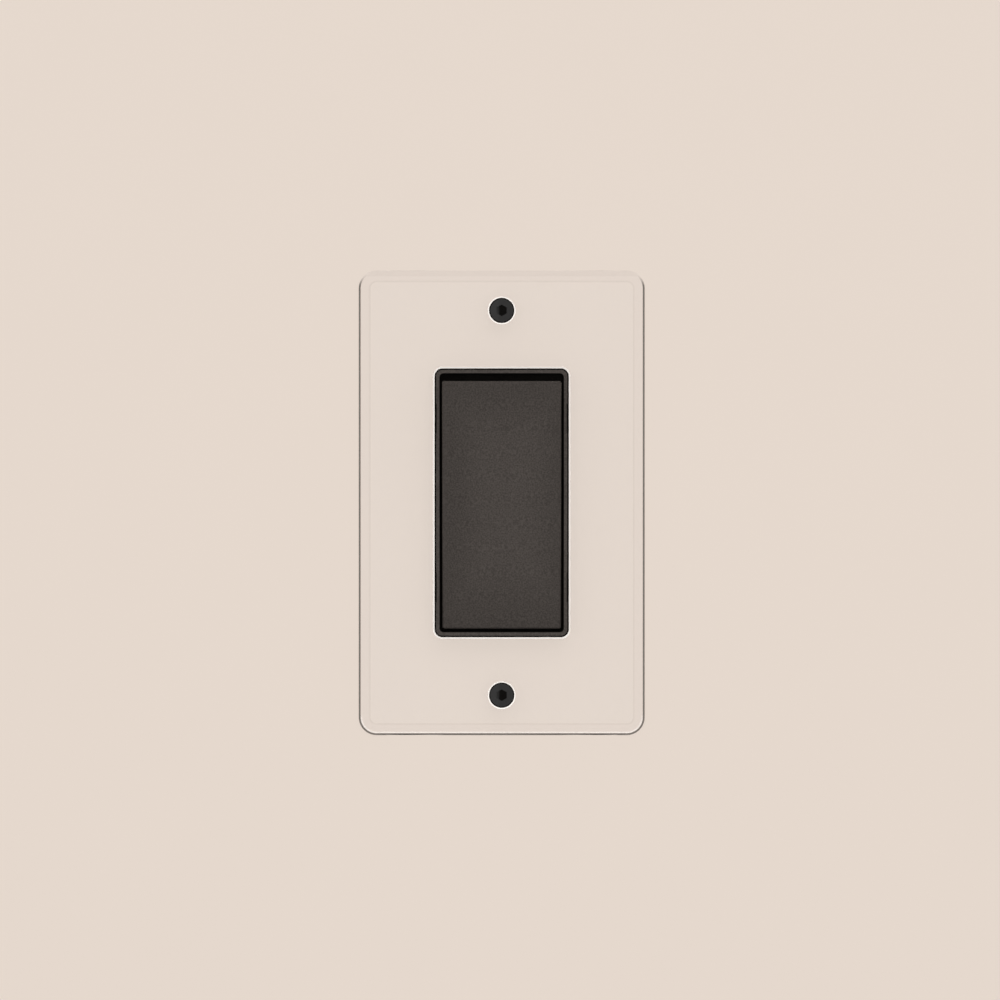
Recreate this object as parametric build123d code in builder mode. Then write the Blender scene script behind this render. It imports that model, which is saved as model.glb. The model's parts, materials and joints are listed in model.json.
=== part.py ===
from build123d import *
from math import atan, cos, degrees, radians, sin, tan
import os

# Retractive rocker switch for a wall box, in millimetres.
# +Z is up and the switch faces -Y. The origin is midway between the two box screws, on the
# rear face of the yoke. "Forward" distances are measured from there towards the viewer, so
# a plane at a forward distance d is Plane.XZ.offset(d), and what lies in the wall is negative.

# Wall plate
plate_w = 72.0
plate_h = 117.0
plate_t = 4.0
plate_corner_r = 4.5
bevel_w = 2.8
bevel_drop = 0.6
plate_edge_chamfer = 0.3
covering_gap = 3.0
insert_fit = 0.26
opening_chamfer = 0.4
seat_flare = 0.35

# Plate screws, with a countersunk head and a hexagon socket
plate_screw_pitch = 96.84
plate_screw_d = 3.5
plate_screw_len = 12.7
plate_head_d = 6.35
plate_head_rim = 0.25
countersink_angle = 82.0
hex_across_flats = 2.44
hex_turn = 30.0
hex_depth = 1.5
head_fit = 0.06
screw_play = 0.25

# Bezel, the frame round the rocker
bezel_w = 33.27
bezel_h = 67.15
bezel_rim = 1.12
bezel_corner_r = 1.7
well_corner_r = 0.9
bezel_edge_chamfer = 0.15
bezel_proud = 0.8
relief_depth = 0.12
relief_h = 50.0
ledge_window_w = 26.0
ledge_window_h = 58.0
lobe_window_w = 12.0
lobe_window_h = 42.0

# Rocker, a drafted shell that tilts equally each way from its middle position
tilt = 3.6
face_proud = 1.0
pivot_depth = 9.6
side_gap = 0.47
end_gap = 1.17
rocker_corner_r = 0.65
face_edge_r = 0.55
face_t = 2.0
skirt_depth = 4.4
skirt_t = 1.7
skirt_draft = 4.5
stop_gap = 0.15
rib_t = 1.2
rib_depth = 1.5
rib_spacing = 8.0
cross_ribs = 4

# Pivot
axle_d = 2.5
axle_chamfer = 0.3
running_fit = 0.05
press_fit = 0.02
cheek_t = 2.6
cheek_root = 0.6
cheek_r = 3.0
lug_t = 2.4
lug_r = 2.4
lug_play = 0.15

# Drive leg of the rocker
leg_reach = 17.0
leg_w = 5.0
leg_tip_r = 1.5
leg_gap = 0.1
gusset_t = 1.2
gusset_len = 3.0

# Yoke, the stamped mounting strap
yoke_t = 1.2
yoke_len = 106.2
yoke_w = 37.0
yoke_body_h = 72.0
yoke_corner_r = 2.0
ear_w = 24.0
ear_corner_r = 4.0
yoke_window_step = 1.0
box_screw_pitch = 83.34
box_slot_len = 9.0
collar_t = 1.0
collar_wall = 1.0
fin_d = 8.0
fin_hole_d = 3.4
fin_gap = 1.2
fin_neck_w = 2.6
tab_w = 8.0
tab_len = 9.5
tab_space = 0.8
tab_margin = 0.4

# Housing, the moulded cup in the wall box
housing_w = 33.0
housing_h = 66.0
housing_depth = 24.0
housing_wall = 2.0
housing_floor = 2.0
housing_corner_r = 1.5
housing_rear_chamfer = 1.0
rear_panel_margin = 4.0
rear_panel_depth = 0.4
boss_d = 6.0
boss_rib_t = 1.2
guide_wall_t = 1.2
guide_drop = 0.3
post_h = 4.0
barrier_t = 1.2
barrier_out = 3.4
barrier_gap = 0.8

# Body screws, which clamp bezel, yoke and housing
body_screw_x = 10.0
body_screw_z = 25.2
body_screw_d = 3.0
body_screw_len = 14.0
body_head_d = 4.8
body_head_h = 1.4

# Push slider, contact bridge and return spring
slider_w = 8.0
slider_h = 7.0
slider_head_t = 2.5
slider_edge_r = 0.5
tongue_w = 3.0
tongue_h = 0.9
slide_fit = 0.1
stem_w = 5.0
stem_len = 4.4
spigot_d = 3.4
spigot_len = 3.6
bridge_len = 20.0
bridge_w = 5.0
bridge_t = 0.8
spring_d = 6.0
spring_wire = 0.7
spring_turns = 5.0

# Contacts and terminals
contact_x = 7.6
moving_contact_d = 3.2
fixed_contact_d = 3.8
contact_t = 1.0
contact_chamfer = 0.3
contact_gap = 0.1
terminal_t = 1.0
terminal_w = 8.0
terminal_leg_w = 5.0
terminal_leg_start = 5.2
terminal_len = 10.4
terminal_screw_back = 5.2
clamp_side = 7.6
clamp_t = 1.2

# Screws of the terminals, the earth tab and the wall box
wire_screw_d = 3.5
wire_screw_len = 6.0
wire_head_d = 7.4
wire_head_h = 2.2
box_screw_d = 3.5
box_screw_len = 25.4
box_head_d = 6.9
box_head_h = 2.2
box_neck_d = 2.9
neck_margin = 0.05
washer_d = 7.4
washer_t = 0.4
slot_w = 1.0
slot_depth = 0.9
head_chamfer = 0.5
tip_chamfer = 0.4

# Forward distances and sizes that follow from the values above
plate_back = yoke_t + covering_gap
plate_front = plate_back + plate_t
bezel_front = plate_front + bezel_proud
face_middle = bezel_front + face_proud
pivot_forward = face_middle - pivot_depth
well_w = bezel_w - 2 * bezel_rim
well_h = bezel_h - 2 * bezel_rim
rocker_w = well_w - 2 * side_gap
rocker_h = well_h - 2 * end_gap
skirt_tip = pivot_depth - skirt_depth
ledge_front = (
    pivot_forward + skirt_tip * cos(radians(tilt)) - rocker_h / 2 * sin(radians(tilt)) - stop_gap
)
cheek_outer = ledge_window_w / 2 + cheek_root
cheek_inner = cheek_outer - cheek_t
lug_outer = cheek_inner - lug_play
travel = 2 * leg_reach * sin(radians(tilt))
slider_front = pivot_forward + leg_reach * sin(radians(tilt)) - leg_tip_r - leg_gap
bridge_front = slider_front - slider_head_t - stem_len
bridge_back = bridge_front - bridge_t
moving_contact_back = bridge_back - contact_t
fixed_contact_front = moving_contact_back - travel - contact_gap
terminal_front = fixed_contact_front - contact_t
housing_inside = -(housing_depth - housing_floor)
terminal_screw_forward = terminal_front - terminal_screw_back
terminal_face = housing_w / 2 + terminal_t
clamp_face = terminal_face + clamp_t
body_screw_places = {
    "upper_left": (-body_screw_x, body_screw_z),
    "upper_right": (body_screw_x, body_screw_z),
    "lower_left": (-body_screw_x, -body_screw_z),
    "lower_right": (body_screw_x, -body_screw_z),
}
sides = {"left": -1, "right": 1}
ends = {"upper": 1, "lower": -1}

# The rocker's own planes at rest: its upper end stands out, so its face looks slightly down.
# On rocker_face_plane x is across and y runs up the paddle. On rocker_side_plane x runs up
# the paddle and y points forward from the pivot.
pivot_point = (0, -pivot_forward, 0)
rocker_face_plane = Plane(
    origin=pivot_point, x_dir=(1, 0, 0), z_dir=(0, -cos(radians(tilt)), -sin(radians(tilt)))
)
rocker_side_plane = Plane(
    origin=pivot_point, x_dir=(0, -sin(radians(tilt)), cos(radians(tilt))), z_dir=(1, 0, 0)
)

os.makedirs("parts", exist_ok=True)


def lobed_window(step):
    """The window of the ledge and of the yoke: wide in the middle, narrow between the four
    lobes that take the body screws. The step makes it larger all round."""
    Rectangle(ledge_window_w + 2 * step, lobe_window_h + 2 * step)
    Rectangle(lobe_window_w + 2 * step, ledge_window_h + 2 * step)


def slotted_screw(seat, head_d, head_h, shank_d, length, neck_d=0.0, neck_len=0.0):
    """A pan-head screw whose head stands on the seat plane, with its shank behind it. A neck
    is the plain length under the head, where the thread has run out."""
    along = Axis(seat.origin, seat.z_dir)
    with BuildPart() as screw:
        with BuildSketch(seat):
            Circle(head_d / 2)
        extrude(amount=head_h)
        chamfer(screw.faces().sort_by(along)[-1].edges(), head_chamfer)
        with BuildSketch(seat):
            Circle(shank_d / 2)
        extrude(amount=-length)
        chamfer(screw.faces().sort_by(along)[0].edges(), tip_chamfer)
        if neck_len > 0:
            with BuildSketch(seat):
                Circle(shank_d)
                Circle(neck_d / 2, mode=Mode.SUBTRACT)
            extrude(amount=-neck_len, mode=Mode.SUBTRACT)
        with BuildSketch(seat.offset(head_h)):
            Rectangle(2 * head_d, slot_w)
        extrude(amount=-slot_depth, mode=Mode.SUBTRACT)
    return screw.part


# Front plate: the flat slab, its shallow bevel with a broken foot, and its openings. Each
# screw seat flares towards the front, above the cone that the head sits in.
with BuildPart() as front_plate:
    with BuildSketch(Plane.XZ.offset(plate_back)):
        RectangleRounded(plate_w, plate_h, plate_corner_r)
    extrude(amount=plate_t - bevel_drop)
    with BuildSketch(Plane.XZ.offset(plate_front - bevel_drop)):
        RectangleRounded(plate_w, plate_h, plate_corner_r)
    with BuildSketch(Plane.XZ.offset(plate_front)):
        RectangleRounded(plate_w - 2 * bevel_w, plate_h - 2 * bevel_w, plate_corner_r - bevel_w)
    loft(ruled=True)
    chamfer(front_plate.edges().group_by(Axis.Y)[2], plate_edge_chamfer)
    with BuildSketch(Plane.XZ.offset(plate_back)):
        RectangleRounded(
            bezel_w + 2 * insert_fit, bezel_h + 2 * insert_fit, bezel_corner_r + insert_fit
        )
    extrude(amount=plate_t, mode=Mode.SUBTRACT)
    opening_rims = front_plate.edges().filter_by(
        lambda edge: abs(edge.center().X) <= bezel_w / 2 + insert_fit
        and abs(edge.center().Z) <= bezel_h / 2 + insert_fit
    )
    chamfer(opening_rims.group_by(Axis.Y)[0], opening_chamfer)
    head_places = [(0, way * plate_screw_pitch / 2) for way in ends.values()]
    with BuildSketch(Plane.XZ.offset(plate_front)):
        with Locations(*head_places):
            Circle(plate_head_d / 2 + head_fit + seat_flare)
    flare_angle = degrees(atan(seat_flare / plate_head_rim))
    extrude(amount=-plate_head_rim, taper=flare_angle, mode=Mode.SUBTRACT)
    cone_plane = Plane.XZ.offset(plate_front - plate_head_rim)
    with Locations(*[cone_plane * Location((x, z, 0)) for x, z in head_places]):
        CounterSinkHole(
            radius=plate_screw_d / 2 + screw_play,
            counter_sink_radius=plate_head_d / 2 + head_fit,
            counter_sink_angle=countersink_angle,
        )
front_plate.part.label = "front_plate"
export_step(front_plate.part, "parts/front_plate.step")

# Plate screws: a turned profile with the socket sunk into the head
head_cone = (plate_head_d - plate_screw_d) / 2 / tan(radians(countersink_angle / 2))
for end, way in ends.items():
    head_plane = Plane((0, -plate_front, way * plate_screw_pitch / 2), (1, 0, 0), (0, -1, 0))
    with BuildPart() as plate_screw:
        with BuildSketch(Plane(head_plane.origin, (1, 0, 0), (0, 0, 1))):
            with BuildLine():
                Polyline(
                    (0, 0),
                    (plate_head_d / 2, 0),
                    (plate_head_d / 2, plate_head_rim),
                    (plate_screw_d / 2, plate_head_rim + head_cone),
                    (plate_screw_d / 2, plate_screw_len),
                    (0, plate_screw_len),
                    close=True,
                )
            make_face()
        revolve(axis=Axis(head_plane.origin, (0, 1, 0)))
        with BuildSketch(head_plane):
            RegularPolygon(hex_across_flats / 2, 6, major_radius=False, rotation=hex_turn)
        extrude(amount=-hex_depth, mode=Mode.SUBTRACT)
    plate_screw.part.label = f"plate_screw_{end}"
    export_step(plate_screw.part, f"parts/plate_screw_{end}.step")

# Bezel: rim and well in front, a lobed ledge behind, and two cheeks that carry the axle
with BuildPart() as bezel:
    with BuildSketch(Plane.XZ.offset(yoke_t)):
        RectangleRounded(bezel_w, bezel_h, bezel_corner_r)
    extrude(amount=bezel_front - yoke_t)
    with BuildSketch(Plane.XZ.offset(ledge_front)):
        RectangleRounded(well_w, well_h, well_corner_r)
    extrude(amount=bezel_front - ledge_front, mode=Mode.SUBTRACT)
    chamfer(bezel.faces().sort_by(Axis.Y)[0].edges(), bezel_edge_chamfer)
    with BuildSketch(Plane.XZ.offset(yoke_t)):
        lobed_window(0)
    extrude(amount=ledge_front - yoke_t, mode=Mode.SUBTRACT)
    with BuildSketch(Plane.XZ.offset(yoke_t)):
        with Locations((bezel_w / 2, 0), (-bezel_w / 2, 0)):
            Rectangle(2 * relief_depth, relief_h)
    extrude(amount=bezel_front - yoke_t, mode=Mode.SUBTRACT)
    for way in sides.values():
        with BuildSketch(Plane.YZ.offset(way * (cheek_inner + cheek_outer) / 2)):
            with Locations((-(pivot_forward + ledge_front) / 2, 0)):
                Rectangle(ledge_front - pivot_forward, 2 * cheek_r)
            with Locations((-pivot_forward, 0)):
                Circle(cheek_r)
        extrude(amount=cheek_t / 2, both=True)
    with BuildSketch(Plane.YZ):
        with Locations((-pivot_forward, 0)):
            Circle(axle_d / 2 + press_fit)
    extrude(amount=bezel_w, both=True, mode=Mode.SUBTRACT)
    with BuildSketch(Plane.XZ.offset(yoke_t)):
        with Locations(*body_screw_places.values()):
            Circle(body_screw_d / 2 + screw_play)
    extrude(amount=ledge_front - yoke_t, mode=Mode.SUBTRACT)
bezel.part.label = "bezel"
export_step(bezel.part, "parts/bezel.step")

# Rocker: a hollow paddle with drafted walls, a grid of ribs, two pivot lugs and a drive leg
with BuildPart() as rocker:
    with BuildSketch(rocker_face_plane.offset(pivot_depth)):
        RectangleRounded(rocker_w, rocker_h, rocker_corner_r)
    extrude(amount=-skirt_depth, taper=skirt_draft)
    tip_inset = skirt_t + skirt_depth * tan(radians(skirt_draft))
    with BuildSketch(rocker_face_plane.offset(skirt_tip)):
        Rectangle(rocker_w - 2 * tip_inset, rocker_h - 2 * tip_inset)
    extrude(amount=skirt_depth - face_t, mode=Mode.SUBTRACT)
    with BuildSketch(rocker_face_plane.offset(pivot_depth - face_t - rib_depth)):
        with GridLocations(rib_spacing, 0, 2, 1):
            Rectangle(rib_t, rocker_h - 2 * tip_inset)
        with GridLocations(0, 2 * leg_reach / (cross_ribs - 1), 1, cross_ribs):
            Rectangle(rocker_w - 2 * tip_inset, rib_t)
    extrude(amount=rib_depth + face_t / 2)
    for way in sides.values():
        with BuildSketch(rocker_side_plane.offset(way * (lug_outer - lug_t / 2))):
            with Locations((0, (pivot_depth - face_t / 2) / 2)):
                Rectangle(2 * lug_r, pivot_depth - face_t / 2)
            Circle(lug_r)
        extrude(amount=lug_t / 2, both=True)
    with BuildSketch(rocker_side_plane):
        with Locations((leg_reach, (pivot_depth - face_t / 2) / 2)):
            Rectangle(2 * leg_tip_r, pivot_depth - face_t / 2)
        with Locations((leg_reach, 0)):
            Circle(leg_tip_r)
    extrude(amount=leg_w / 2, both=True)
    gusset_foot = leg_tip_r + gusset_len
    with BuildSketch(rocker_side_plane):
        with BuildLine():
            Polyline(
                (leg_reach - gusset_foot, pivot_depth - face_t),
                (leg_reach + gusset_foot, pivot_depth - face_t),
                (leg_reach, pivot_depth - face_t - gusset_foot),
                close=True,
            )
        make_face()
    extrude(amount=gusset_t / 2, both=True)
    with BuildSketch(rocker_side_plane):
        Circle(axle_d / 2 + running_fit)
    extrude(amount=rocker_w, both=True, mode=Mode.SUBTRACT)
    face_axis = Axis(pivot_point, rocker_face_plane.z_dir)
    fillet(rocker.faces().sort_by(face_axis)[-1].edges(), face_edge_r)
rocker.part.label = "rocker"
export_step(rocker.part, "parts/rocker.step")

# Axle: a steel pin held in the bezel's cheeks
with BuildPart() as rocker_axle:
    with BuildSketch(Plane.YZ):
        with Locations((-pivot_forward, 0)):
            Circle(axle_d / 2)
    extrude(amount=cheek_outer, both=True)
    chamfer(rocker_axle.edges(), axle_chamfer)
rocker_axle.part.label = "rocker_axle"
export_step(rocker_axle.part, "parts/rocker_axle.step")

# Yoke: a stamped strap with two ears, break-off fins, plunged thread collars and an earth tab
fin_x = ear_w / 2 + fin_gap + fin_d / 2
tab_z = -(yoke_body_h + tab_w) / 2 - tab_space
earth_screw_forward = -(tab_len - wire_head_d / 2 - tab_margin)
ear_heights = [way * plate_screw_pitch / 2 for way in ends.values()]
fin_places = [(way * fin_x, height) for way in sides.values() for height in ear_heights]
box_screw_places = {end: (0, way * box_screw_pitch / 2) for end, way in ends.items()}
with BuildPart() as yoke:
    with BuildSketch(Plane.XZ):
        RectangleRounded(yoke_w, yoke_body_h, yoke_corner_r)
        RectangleRounded(ear_w, yoke_len, ear_corner_r)
        with Locations(*fin_places):
            Circle(fin_d / 2)
        with Locations(*[(0, height) for height in ear_heights]):
            Rectangle(2 * fin_x, fin_neck_w)
        with Locations(*fin_places):
            Circle(fin_hole_d / 2, mode=Mode.SUBTRACT)
        with Locations(*box_screw_places.values()):
            SlotOverall(box_slot_len, box_screw_d + 2 * screw_play, mode=Mode.SUBTRACT)
        with Locations(*body_screw_places.values()):
            Circle(body_screw_d / 2 + screw_play, mode=Mode.SUBTRACT)
    extrude(amount=yoke_t)
    with BuildSketch(Plane.XZ):
        lobed_window(yoke_window_step)
    extrude(amount=yoke_t, mode=Mode.SUBTRACT)
    with BuildSketch(Plane.YZ.offset(-ear_w / 2)):
        with Locations(((tab_len - yoke_t) / 2, tab_z)):
            Rectangle(tab_len + yoke_t, tab_w)
        with Locations((-earth_screw_forward, tab_z)):
            Circle(wire_screw_d / 2 + press_fit, mode=Mode.SUBTRACT)
    extrude(amount=yoke_t)
    with BuildSketch(Plane.XZ):
        with Locations(*[(0, height) for height in ear_heights]):
            Circle(plate_screw_d / 2 + collar_wall)
    extrude(amount=-collar_t)
    with BuildSketch(Plane.XZ.offset(-collar_t)):
        with Locations(*[(0, height) for height in ear_heights]):
            Circle(plate_screw_d / 2 + press_fit)
    extrude(amount=collar_t + yoke_t, mode=Mode.SUBTRACT)
yoke.part.label = "yoke"
export_step(yoke.part, "parts/yoke.step")

# Housing: an open cup with ribbed screw bosses, slotted guide walls, a spring post, terminal
# barriers and a sunk rear panel
boss_rib_len = (housing_w - housing_wall) / 2 - body_screw_x
boss_rib_x = body_screw_x + boss_rib_len / 2
boss_rib_places = [(way * boss_rib_x, up * body_screw_z) for way in (-1, 1) for up in (-1, 1)]
guide_offset = slider_h / 2 + slide_fit + guide_wall_t / 2
guide_heights = [leg_reach + way * guide_offset for way in ends.values()]
groove_depth = slider_head_t + travel + guide_drop + 2 * slide_fit - slider_front
barrier_offset = terminal_w / 2 + barrier_gap + barrier_t / 2
with BuildPart() as housing:
    with BuildSketch(Plane.XZ):
        RectangleRounded(housing_w, housing_h, housing_corner_r)
    extrude(amount=-housing_depth)
    chamfer(housing.faces().sort_by(Axis.Y)[-1].edges(), housing_rear_chamfer)
    with BuildSketch(Plane.XZ.offset(-housing_depth)):
        RectangleRounded(
            housing_w - 2 * rear_panel_margin, housing_h - 2 * rear_panel_margin, housing_corner_r
        )
    extrude(amount=rear_panel_depth, mode=Mode.SUBTRACT)
    with BuildSketch(Plane.XZ):
        Rectangle(housing_w - 2 * housing_wall, housing_h - 2 * housing_wall)
    extrude(amount=housing_inside, mode=Mode.SUBTRACT)
    with BuildSketch(Plane.XZ):
        with Locations(*body_screw_places.values()):
            Circle(boss_d / 2)
        with Locations(*boss_rib_places):
            Rectangle(boss_rib_len, boss_rib_t)
    extrude(amount=housing_inside)
    with BuildSketch(Plane.XZ):
        with Locations(*body_screw_places.values()):
            Circle(body_screw_d / 2 + press_fit)
    extrude(amount=ledge_front - body_screw_len - screw_play, mode=Mode.SUBTRACT)
    with BuildSketch(Plane.XZ.offset(-guide_drop)):
        with Locations(*[(0, height) for height in guide_heights]):
            Rectangle(housing_w - housing_wall, guide_wall_t)
    extrude(amount=housing_inside + guide_drop)
    with BuildSketch(Plane.XZ.offset(-guide_drop)):
        with Locations(*[(0, height) for height in guide_heights]):
            Rectangle(tongue_w + 2 * slide_fit, 2 * guide_wall_t)
    extrude(amount=-groove_depth, mode=Mode.SUBTRACT)
    with BuildSketch(Plane.XZ.offset(housing_inside)):
        with Locations((0, leg_reach)):
            Circle(spigot_d / 2)
    extrude(amount=post_h)
    with BuildSketch(Plane.YZ):
        with Locations((-terminal_front + terminal_t / 2, leg_reach)):
            Rectangle(terminal_t + 2 * slide_fit, terminal_leg_w + 2 * slide_fit)
        with Locations((-terminal_screw_forward, leg_reach)):
            Circle(wire_screw_d / 2 + screw_play)
    extrude(amount=housing_w, both=True, mode=Mode.SUBTRACT)
    for way in sides.values():
        with BuildSketch(Plane.YZ.offset(way * housing_w / 2)):
            with Locations(*[(housing_depth / 2, leg_reach + up * barrier_offset) for up in ends.values()]):
                Rectangle(housing_depth - 2 * housing_rear_chamfer, barrier_t)
        extrude(amount=way * barrier_out)
housing.part.label = "housing"
export_step(housing.part, "parts/housing.step")

# Body screws: from the bezel's ledge through the yoke into the housing's bosses
for corner, (x, z) in body_screw_places.items():
    body_seat = Plane((x, -ledge_front, z), (1, 0, 0), (0, -1, 0))
    body_screw = slotted_screw(body_seat, body_head_d, body_head_h, body_screw_d, body_screw_len)
    body_screw.label = f"body_screw_{corner}"
    export_step(body_screw, f"parts/body_screw_{corner}.step")

# Push slider: a head with two tongues, a square stem and a round spigot
with BuildPart() as push_slider:
    with BuildSketch(Plane.XZ.offset(slider_front)):
        with Locations((0, leg_reach)):
            Rectangle(slider_w, slider_h)
            Rectangle(tongue_w, slider_h + 2 * tongue_h)
    extrude(amount=-slider_head_t)
    with BuildSketch(Plane.XZ.offset(slider_front - slider_head_t)):
        with Locations((0, leg_reach)):
            Rectangle(stem_w, stem_w)
    extrude(amount=-stem_len)
    with BuildSketch(Plane.XZ.offset(bridge_front)):
        with Locations((0, leg_reach)):
            Circle(spigot_d / 2)
    extrude(amount=-spigot_len)
    chamfer(push_slider.faces().sort_by(Axis.Y)[0].edges(), slider_edge_r)
    chamfer(push_slider.faces().sort_by(Axis.Y)[-1].edges(), slider_edge_r)
push_slider.part.label = "push_slider"
export_step(push_slider.part, "parts/push_slider.step")

# Contact bridge: a brass strip that hangs on the spigot, with a silver button at each end
with BuildPart() as contact_bridge:
    with BuildSketch(Plane.XZ.offset(bridge_front)):
        with Locations((0, leg_reach)):
            SlotOverall(bridge_len, bridge_w)
            Circle(spigot_d / 2 + running_fit, mode=Mode.SUBTRACT)
    extrude(amount=-bridge_t)
contact_bridge.part.label = "contact_bridge"
export_step(contact_bridge.part, "parts/contact_bridge.step")

for side, way in sides.items():
    with BuildPart() as moving_contact:
        with BuildSketch(Plane.XZ.offset(bridge_back)):
            with Locations((way * contact_x, leg_reach)):
                Circle(moving_contact_d / 2)
        extrude(amount=-contact_t)
        chamfer(moving_contact.faces().sort_by(Axis.Y)[-1].edges(), contact_chamfer)
    moving_contact.part.label = f"moving_contact_{side}"
    export_step(moving_contact.part, f"parts/moving_contact_{side}.step")

    with BuildPart() as fixed_contact:
        with BuildSketch(Plane.XZ.offset(terminal_front)):
            with Locations((way * contact_x, leg_reach)):
                Circle(fixed_contact_d / 2)
        extrude(amount=contact_t)
        chamfer(fixed_contact.faces().sort_by(Axis.Y)[0].edges(), contact_chamfer)
    fixed_contact.part.label = f"fixed_contact_{side}"
    export_step(fixed_contact.part, f"parts/fixed_contact_{side}.step")

    # Terminal: the inner leg goes out through the housing's wall and bends back along it
    inner_leg_len = terminal_face - terminal_leg_start
    with BuildPart() as terminal:
        with BuildSketch(Plane.XZ.offset(terminal_front)):
            with Locations((way * (terminal_face + terminal_leg_start) / 2, leg_reach)):
                Rectangle(inner_leg_len, terminal_leg_w)
        extrude(amount=-terminal_t)
        with BuildSketch(Plane.YZ.offset(way * housing_w / 2)):
            with Locations((-terminal_front + terminal_len / 2, leg_reach)):
                Rectangle(terminal_len, terminal_w)
            with Locations((-terminal_screw_forward, leg_reach)):
                Circle(wire_screw_d / 2 + press_fit, mode=Mode.SUBTRACT)
        extrude(amount=way * terminal_t)
        bend = terminal.edges().filter_by(Axis.Z).sort_by(Axis.Y)[0:2].sort_by(Axis.X)
        fillet(bend[-1] if way > 0 else bend[0], terminal_t / 2)
    terminal.part.label = f"terminal_{side}"
    export_step(terminal.part, f"parts/terminal_{side}.step")

    with BuildPart() as terminal_clamp:
        with BuildSketch(Plane.YZ.offset(way * terminal_face)):
            with Locations((-terminal_screw_forward, leg_reach)):
                Rectangle(clamp_side, clamp_side)
                Circle(wire_screw_d / 2 + press_fit, mode=Mode.SUBTRACT)
        extrude(amount=way * clamp_t)
    terminal_clamp.part.label = f"terminal_clamp_{side}"
    export_step(terminal_clamp.part, f"parts/terminal_clamp_{side}.step")

    wire_seat = Plane((way * clamp_face, -terminal_screw_forward, leg_reach), (0, 1, 0), (way, 0, 0))
    terminal_screw = slotted_screw(wire_seat, wire_head_d, wire_head_h, wire_screw_d, wire_screw_len)
    terminal_screw.label = f"terminal_screw_{side}"
    export_step(terminal_screw, f"parts/terminal_screw_{side}.step")

# Return spring: a coil between the housing's floor and the contact bridge
spring_len = bridge_back - housing_inside - spring_wire
spring_foot = (0, -housing_inside - spring_wire / 2, leg_reach)
with BuildPart() as return_spring:
    with BuildLine() as coil:
        Helix(
            pitch=spring_len / spring_turns,
            height=spring_len,
            radius=(spring_d - spring_wire) / 2,
            center=spring_foot,
            direction=(0, -1, 0),
        )
    with BuildSketch(Plane(coil.line @ 0, z_dir=coil.line % 0)):
        RegularPolygon(spring_wire / 2, 6)
    sweep(is_frenet=True)
return_spring.part.label = "return_spring"
export_step(return_spring.part, "parts/return_spring.step")

# Earth screw on the yoke's tab
earth_seat = Plane((-ear_w / 2, -earth_screw_forward, tab_z), (0, 1, 0), (-1, 0, 0))
ground_screw = slotted_screw(earth_seat, wire_head_d, wire_head_h, wire_screw_d, wire_screw_len)
ground_screw.label = "ground_screw"
export_step(ground_screw, "parts/ground_screw.step")

# Box screws and the fibre washers that keep them captive
for end, (x, z) in box_screw_places.items():
    box_seat = Plane((x, -yoke_t, z), (1, 0, 0), (0, -1, 0))
    box_neck_len = yoke_t + washer_t + neck_margin
    box_screw = slotted_screw(
        box_seat, box_head_d, box_head_h, box_screw_d, box_screw_len, box_neck_d, box_neck_len
    )
    box_screw.label = f"box_screw_{end}"
    export_step(box_screw, f"parts/box_screw_{end}.step")
    with BuildPart() as retaining_washer:
        with BuildSketch(Plane.XZ):
            with Locations((x, z)):
                Circle(washer_d / 2)
                Circle(box_neck_d / 2 + press_fit, mode=Mode.SUBTRACT)
        extrude(amount=-washer_t)
    retaining_washer.part.label = f"retaining_washer_{end}"
    export_step(retaining_washer.part, f"parts/retaining_washer_{end}.step")
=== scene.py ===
import json
import math

import bmesh
import bpy
from mathutils import Matrix, Vector


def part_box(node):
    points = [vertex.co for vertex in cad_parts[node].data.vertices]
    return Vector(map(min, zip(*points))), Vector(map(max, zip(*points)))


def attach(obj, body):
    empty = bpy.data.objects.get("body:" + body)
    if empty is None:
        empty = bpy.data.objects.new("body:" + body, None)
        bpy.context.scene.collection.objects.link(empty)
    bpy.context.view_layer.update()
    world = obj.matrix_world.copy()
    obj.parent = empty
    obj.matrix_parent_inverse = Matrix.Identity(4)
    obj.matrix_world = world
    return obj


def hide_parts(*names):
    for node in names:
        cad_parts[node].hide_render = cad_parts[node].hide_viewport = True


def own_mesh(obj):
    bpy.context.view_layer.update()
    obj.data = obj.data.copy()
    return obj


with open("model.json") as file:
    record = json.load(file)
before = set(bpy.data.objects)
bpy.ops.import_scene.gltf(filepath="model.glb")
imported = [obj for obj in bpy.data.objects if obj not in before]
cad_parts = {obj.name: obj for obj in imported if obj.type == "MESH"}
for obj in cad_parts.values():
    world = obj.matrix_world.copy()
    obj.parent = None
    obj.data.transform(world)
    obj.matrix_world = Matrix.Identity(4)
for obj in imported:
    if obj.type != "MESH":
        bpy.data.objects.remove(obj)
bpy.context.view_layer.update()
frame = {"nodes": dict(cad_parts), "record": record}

# Lengths are in metres, like the frame, and MM turns millimetres into them
MM = 0.001

# The photograph's frame: 1000 pixels across, at the scale that the plate screws' spacing gives
PHOTO_WIDTH = 1000
PIXELS_PER_MM = 3.9735
PLATE_CENTRE_PX = (501.7, 502.8)
CAMERA_DISTANCE = 1.6
SENSOR_WIDTH = 36.0

# Wall behind the plate
WALL_COLOR = (0.775, 0.68, 0.605)
WALL_GLOW = 0.6
WALL_SPECULAR = 0.2
WALL_ROUGHNESS = 0.85
WALL_PATCH_SHARE = 0.012
WALL_PATCH = 30 * MM
# Size, depth and strength of the grain
WALL_GRAIN = (1.2 * MM, 0.02 * MM, 0.5)
WALL_HALF = 1.6
WALL_SETBACK = 0.05 * MM
WALL_OPENING_PLAY = 0.3 * MM
WALL_OPENING_CORNER_R = 1.9 * MM
WALL_HOLE_RADIUS = 2.3 * MM

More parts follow.
